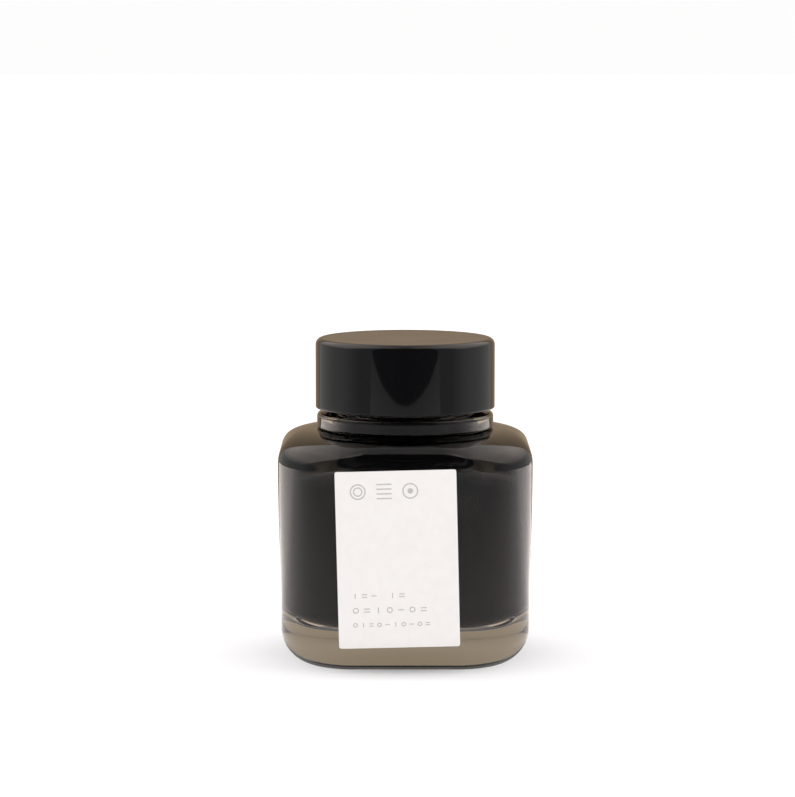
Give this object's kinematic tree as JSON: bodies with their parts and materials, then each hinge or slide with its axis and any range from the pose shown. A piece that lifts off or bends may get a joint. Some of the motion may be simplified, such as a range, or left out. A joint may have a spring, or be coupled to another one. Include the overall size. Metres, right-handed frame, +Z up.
{
  "type": "inkwell",
  "caption": "Rounded-square clear glass ink bottle, filled, with a plain paper label and a smooth dark screw cap that unscrews from its neck.",
  "frame": {"origin": "middle of the bottle's base, on the surface it stands on", "axes": "+Z up along the neck, -Y out of the face that carries the label, +X to the right of that face"},
  "size_m": [0.0458, 0.0462, 0.0581],
  "materials": {
    "bottle_glass": "polished",
    "ink": "gloss",
    "label_paper": "matte",
    "liner_foam": "matte",
    "cap_plastic": "gloss"
  },
  "bodies": {
    "bottle": {"glass_bottle": "bottle_glass", "ink_fill": "ink", "front_label": "label_paper"},
    "liner": {"cap_liner": "liner_foam"},
    "cap": {"screw_cap": "cap_plastic"}
  },
  "joints": [
    {"name": "cap_lift", "type": "slide", "parent": "bottle", "child": "liner", "axis": [0, 0, 1], "range_m": [0, 0.0127]},
    {"name": "cap_turn", "type": "hinge", "parent": "liner", "child": "cap", "pos_m": [0, 0, 0.05], "axis": [0, 0, 1], "range_deg": [0, 1080]}
  ],
  "couplings": [
    {"joint": "cap_lift", "follows": "cap_turn", "m_per_rad": 0.00066845}
  ]
}
